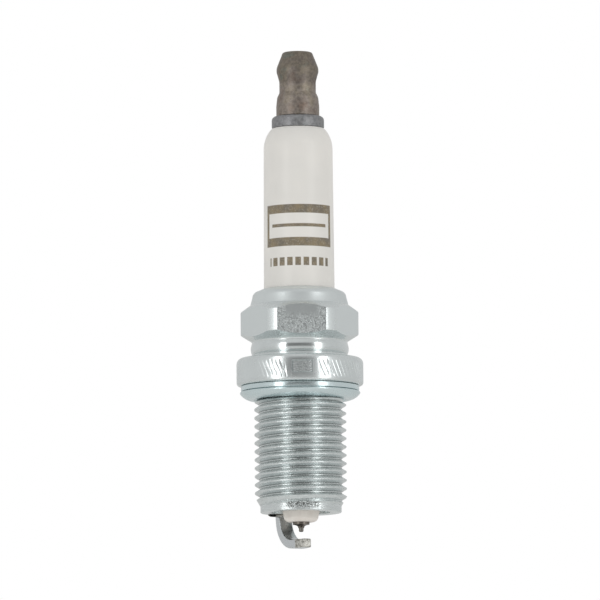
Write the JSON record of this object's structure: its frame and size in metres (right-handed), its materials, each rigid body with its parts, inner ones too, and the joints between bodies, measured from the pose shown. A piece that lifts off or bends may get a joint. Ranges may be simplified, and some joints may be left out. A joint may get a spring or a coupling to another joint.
{
  "type": "spark plug",
  "caption": "Spark plug with a ribless glazed insulator, hexagonal shell, captive gasket, fine-wire centre electrode and removable terminal nut; threads into a cylinder head.",
  "frame": {"origin": "on the plug's axis, at the shell's flange seat, the plane that the reach is measured from", "axes": "+Z along the axis towards the terminal; one hexagon flat faces -Y"},
  "size_m": [0.019, 0.019, 0.0745],
  "materials": {
    "terminal_steel": "oxidised brown-grey, semi-matte",
    "glazed_alumina": "smooth white glaze",
    "plated_shell_steel": "bright bluish zinc plating, finely pitted",
    "gasket_steel": "smooth bluish plated sheet",
    "packing_steel": "plain wire",
    "talc": "pressed powder",
    "conductive_glass": "fused copper glass",
    "resistor_compound": "fused carbon glass",
    "nickel_alloy": "satin",
    "copper": "drawn copper",
    "iridium": "fine-ground"
  },
  "bodies": {
    "plug": {"terminal_stud": "terminal_steel", "insulator": "glazed_alumina", "shell": "plated_shell_steel", "upper_packing_ring": "packing_steel", "talc_packing": "talc", "lower_packing_ring": "packing_steel", "inner_seat_washer": "packing_steel", "upper_glass_seal": "conductive_glass", "resistor": "resistor_compound", "lower_glass_seal": "conductive_glass", "centre_electrode": "nickel_alloy", "electrode_core": "copper", "tip_weld": "nickel_alloy", "iridium_tip": "iridium", "ground_electrode": "nickel_alloy", "ground_weld": "nickel_alloy"},
    "terminal_nut": {"terminal_nut": "terminal_steel"},
    "gasket": {"gasket": "gasket_steel"}
  },
  "joints": [
    {"name": "terminal_nut_unscrews", "type": "slide", "parent": "plug", "child": "terminal_nut", "axis": [0, 0, 1], "range_m": [0, 0.009]},
    {"name": "gasket_turns", "type": "hinge", "parent": "plug", "child": "gasket", "pos_m": [0, 0, -0.001], "axis": [0, 0, 1], "continuous": true}
  ]
}
